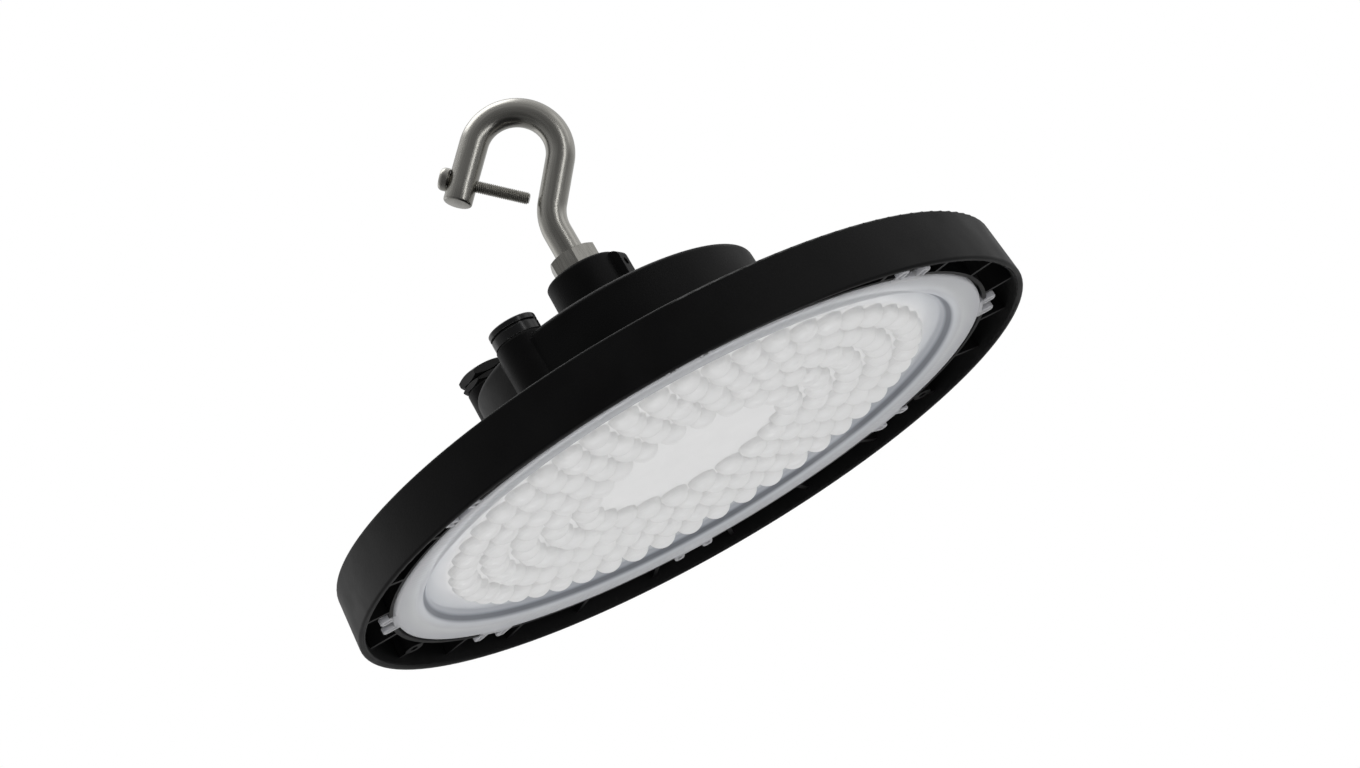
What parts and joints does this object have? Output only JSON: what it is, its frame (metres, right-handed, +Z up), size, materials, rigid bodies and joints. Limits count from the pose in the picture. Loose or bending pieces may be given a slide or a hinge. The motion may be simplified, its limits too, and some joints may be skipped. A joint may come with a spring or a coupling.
{
  "type": "high bay light",
  "caption": "Round hanging hall luminaire with a finned cast heat sink, bubbled clear lens, driver drum and steel hook.",
  "frame": {"origin": "centre of the outer band's bottom edge, in the plane the band rests on", "axes": "+Z up the axis to the hook, so the light leaves towards -Z; the hook is bent in the XZ plane and its tip points to -X; +Y completes the frame, with the supply gland on its side"},
  "size_m": [0.2998, 0.2998, 0.1765],
  "materials": {
    "black_coating": "satin",
    "stainless": "satin",
    "lens_plastic": "gloss",
    "black_plastic": "gloss",
    "gland_plastic": "satin",
    "seal_rubber": "matt",
    "silicone": "matt",
    "white_board": "satin",
    "phosphor": "satin",
    "zinc_steel": "satin",
    "wire_sleeve": "satin",
    "insulating_film": "satin",
    "green_board": "satin",
    "ferrite": "matt",
    "capacitor_sleeve": "gloss",
    "film_capacitor": "satin",
    "terminal_plastic": "satin"
  },
  "bodies": {
    "root": {"heat_sink": "black_coating", "driver_housing": "black_coating", "housing_gasket": "seal_rubber", "housing_screws": "zinc_steel", "hook": "stainless", "hook_lock_nut": "stainless", "hook_safety_screw": "stainless", "hook_set_screw": "stainless", "sensor_port_cap": "black_plastic", "sensor_port_seal": "seal_rubber", "supply_gland_body": "gland_plastic", "supply_gland_nut": "gland_plastic", "supply_gland_seal": "seal_rubber", "supply_gland_washer": "seal_rubber", "lens_cover": "lens_plastic", "lens_gasket": "silicone", "led_board": "white_board", "led_chips": "phosphor", "board_screws": "zinc_steel", "lead_grommet": "seal_rubber", "led_leads": "wire_sleeve", "insulation_sheet": "insulating_film", "driver_board": "green_board", "driver_screws": "zinc_steel", "driver_transformer": "ferrite", "driver_capacitors": "capacitor_sleeve", "driver_choke": "ferrite", "driver_film_capacitor": "film_capacitor", "driver_terminal_block": "terminal_plastic"}
  },
  "joints": []
}
